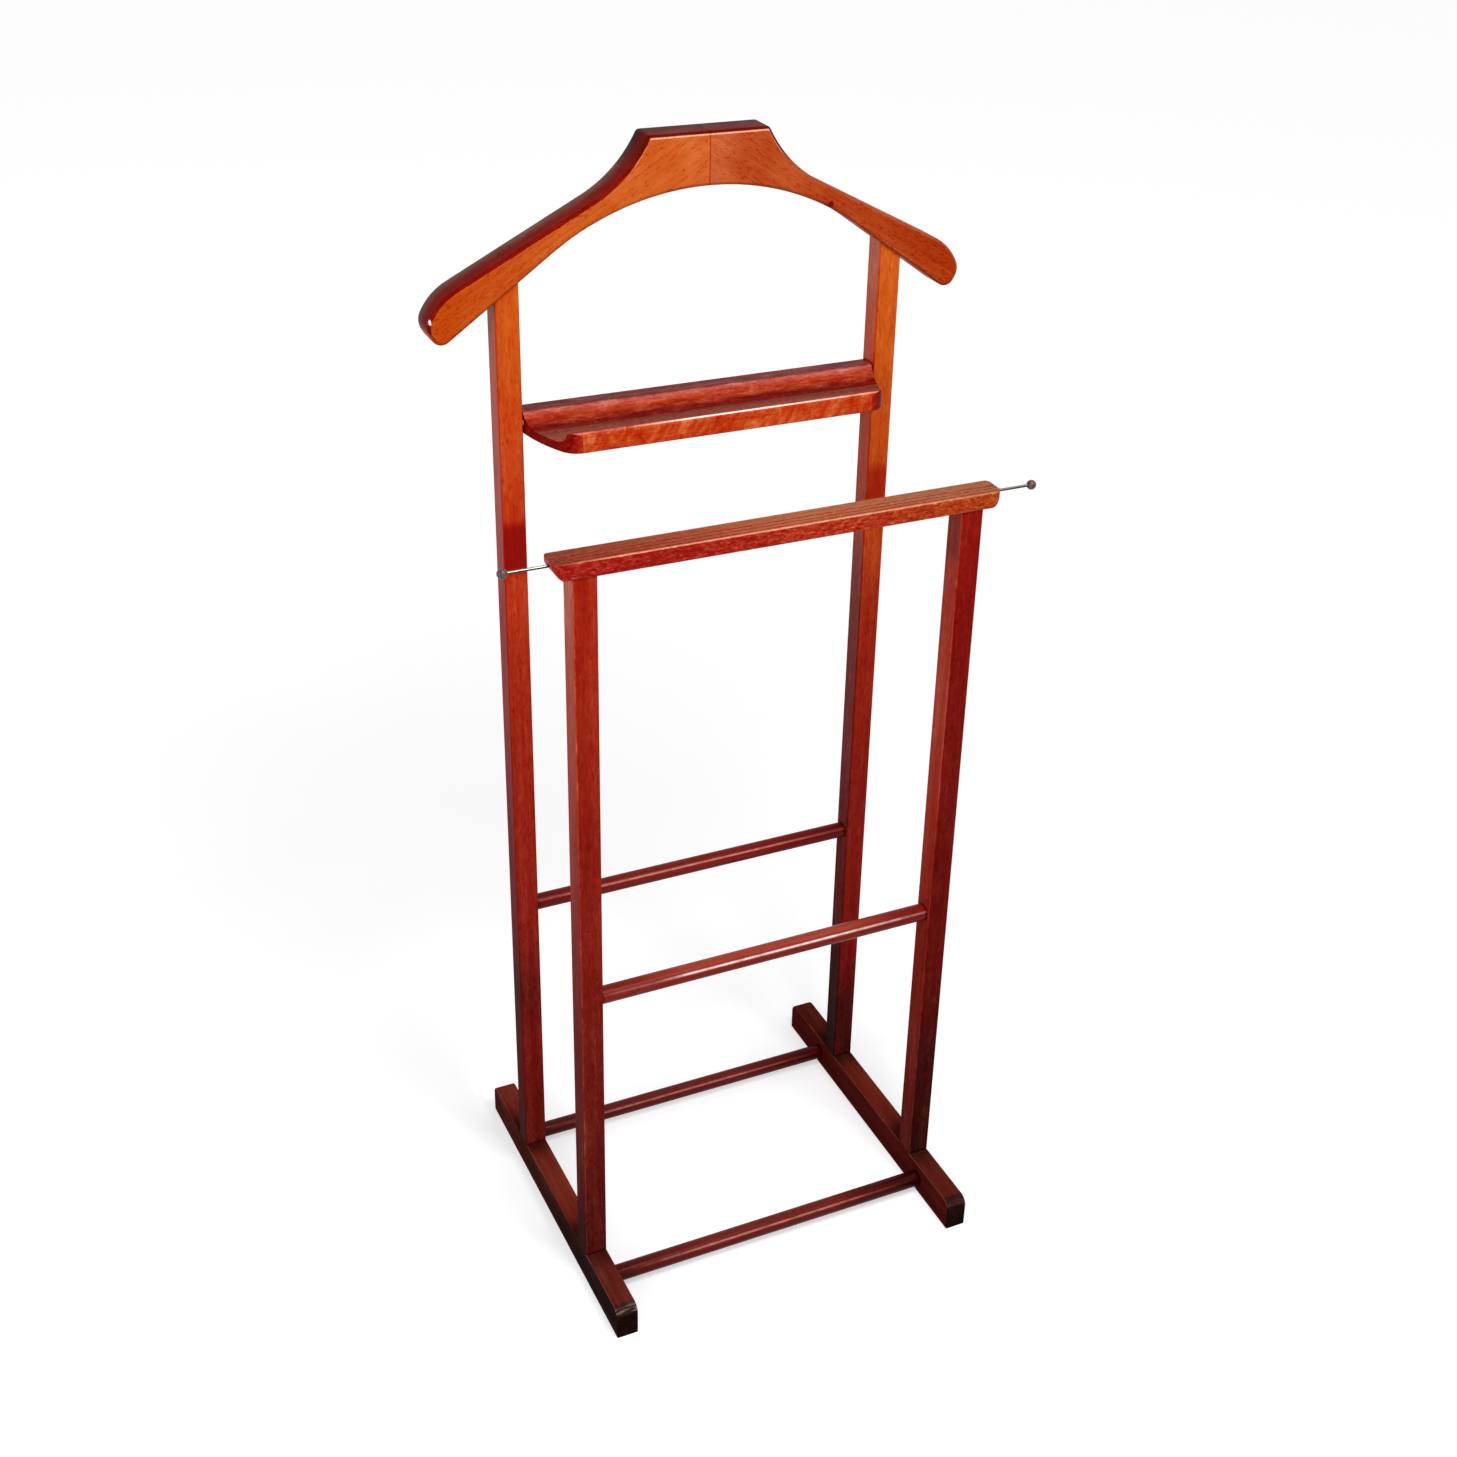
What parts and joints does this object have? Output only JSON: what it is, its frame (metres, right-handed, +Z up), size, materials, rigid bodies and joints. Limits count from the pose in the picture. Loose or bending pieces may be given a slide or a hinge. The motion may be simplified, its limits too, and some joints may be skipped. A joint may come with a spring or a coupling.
{
  "type": "valet stand",
  "caption": "Freestanding wooden valet stand: coat hanger on tall rear posts, pocket tray, trouser bar with sliding tie rods on lower front posts, round rails and floor runners.",
  "frame": {"origin": "on the floor, midway between the two runners and midway along them", "axes": "+Z up, +X to the right as seen from the front, the trouser bar's side faces -Y"},
  "size_m": [0.4754, 0.342, 1.0124],
  "materials": {
    "hanger_wood": "satin varnish, orange-brown stain",
    "post_wood": "satin varnish, red-brown stain, more orange towards the top of the rear posts",
    "tray_wood": "satin varnish, dark red stain",
    "bar_wood": "satin varnish on the sides, worn bare on top",
    "rail_wood": "satin varnish, dark red stain",
    "runner_wood": "satin varnish, dark red-brown stain, scuffed ends",
    "pin_wood": "bare beech, hidden",
    "rod_steel": "drawn bright",
    "knob_metal": "dark brown lacquer",
    "bush_brass": "turned, hidden"
  },
  "bodies": {
    "frame": {"hanger_left_half": "hanger_wood", "hanger_right_half": "hanger_wood", "rear_post_left": "post_wood", "rear_post_right": "post_wood", "front_post_left": "post_wood", "front_post_right": "post_wood", "tray": "tray_wood", "trouser_bar": "bar_wood", "rear_cross_dowel": "rail_wood", "front_cross_dowel": "rail_wood", "rear_base_dowel": "rail_wood", "front_base_dowel": "rail_wood", "runner_left": "runner_wood", "runner_right": "runner_wood", "hanger_joint_dowels": "pin_wood", "hanger_post_dowels": "pin_wood", "tray_dowels": "pin_wood", "bar_post_dowels": "pin_wood", "runner_post_dowels": "pin_wood", "rod_bush_left": "bush_brass", "rod_bush_right": "bush_brass"},
    "left_tie_rod": {"tie_rod_left": "rod_steel", "knob_left": "knob_metal", "rod_stop_left": "bush_brass"},
    "right_tie_rod": {"tie_rod_right": "rod_steel", "knob_right": "knob_metal", "rod_stop_right": "bush_brass"}
  },
  "joints": [
    {"name": "left_rod_slide", "type": "slide", "parent": "frame", "child": "left_tie_rod", "axis": [-1, 0, 0], "range_m": [-0.0315, 0.1085]},
    {"name": "right_rod_slide", "type": "slide", "parent": "frame", "child": "right_tie_rod", "axis": [1, 0, 0], "range_m": [-0.0315, 0.1085]}
  ]
}
